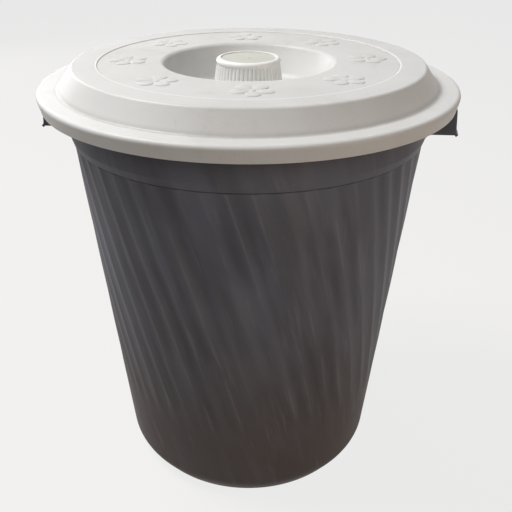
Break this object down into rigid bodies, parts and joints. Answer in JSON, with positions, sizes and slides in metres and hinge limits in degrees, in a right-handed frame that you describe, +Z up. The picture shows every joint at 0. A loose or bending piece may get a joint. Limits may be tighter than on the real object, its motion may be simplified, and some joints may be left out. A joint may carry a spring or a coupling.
{
  "type": "waste bin",
  "caption": "Round tapered floor bin with a spiral-fluted wall, moulded pocket grips under the rim and a lift-off lid with a ribbed knob sunk in a well.",
  "frame": {"origin": "on the floor, under the middle of the bin", "axes": "+Z up along the bin's axis; the two grips lie on +X and -X; the picture is taken from about -Y"},
  "size_m": [0.4606, 0.454, 0.4984],
  "materials": {
    "bin_plastic": "satin charcoal grey",
    "lid_plastic": "satin light grey",
    "knob_plastic": "satin white",
    "cap_plastic": "satin cream",
    "screw_steel": "zinc plated"
  },
  "bodies": {
    "bin": {"bin_body": "bin_plastic"},
    "lid_set": {"lid": "lid_plastic", "knob": "knob_plastic", "knob_cap": "cap_plastic", "knob_screw": "screw_steel", "knob_washer": "screw_steel"}
  },
  "joints": [
    {"name": "lid_lift", "type": "slide", "parent": "bin", "child": "lid_set", "axis": [0, 0, 1], "range_m": [0, 0.3]}
  ]
}
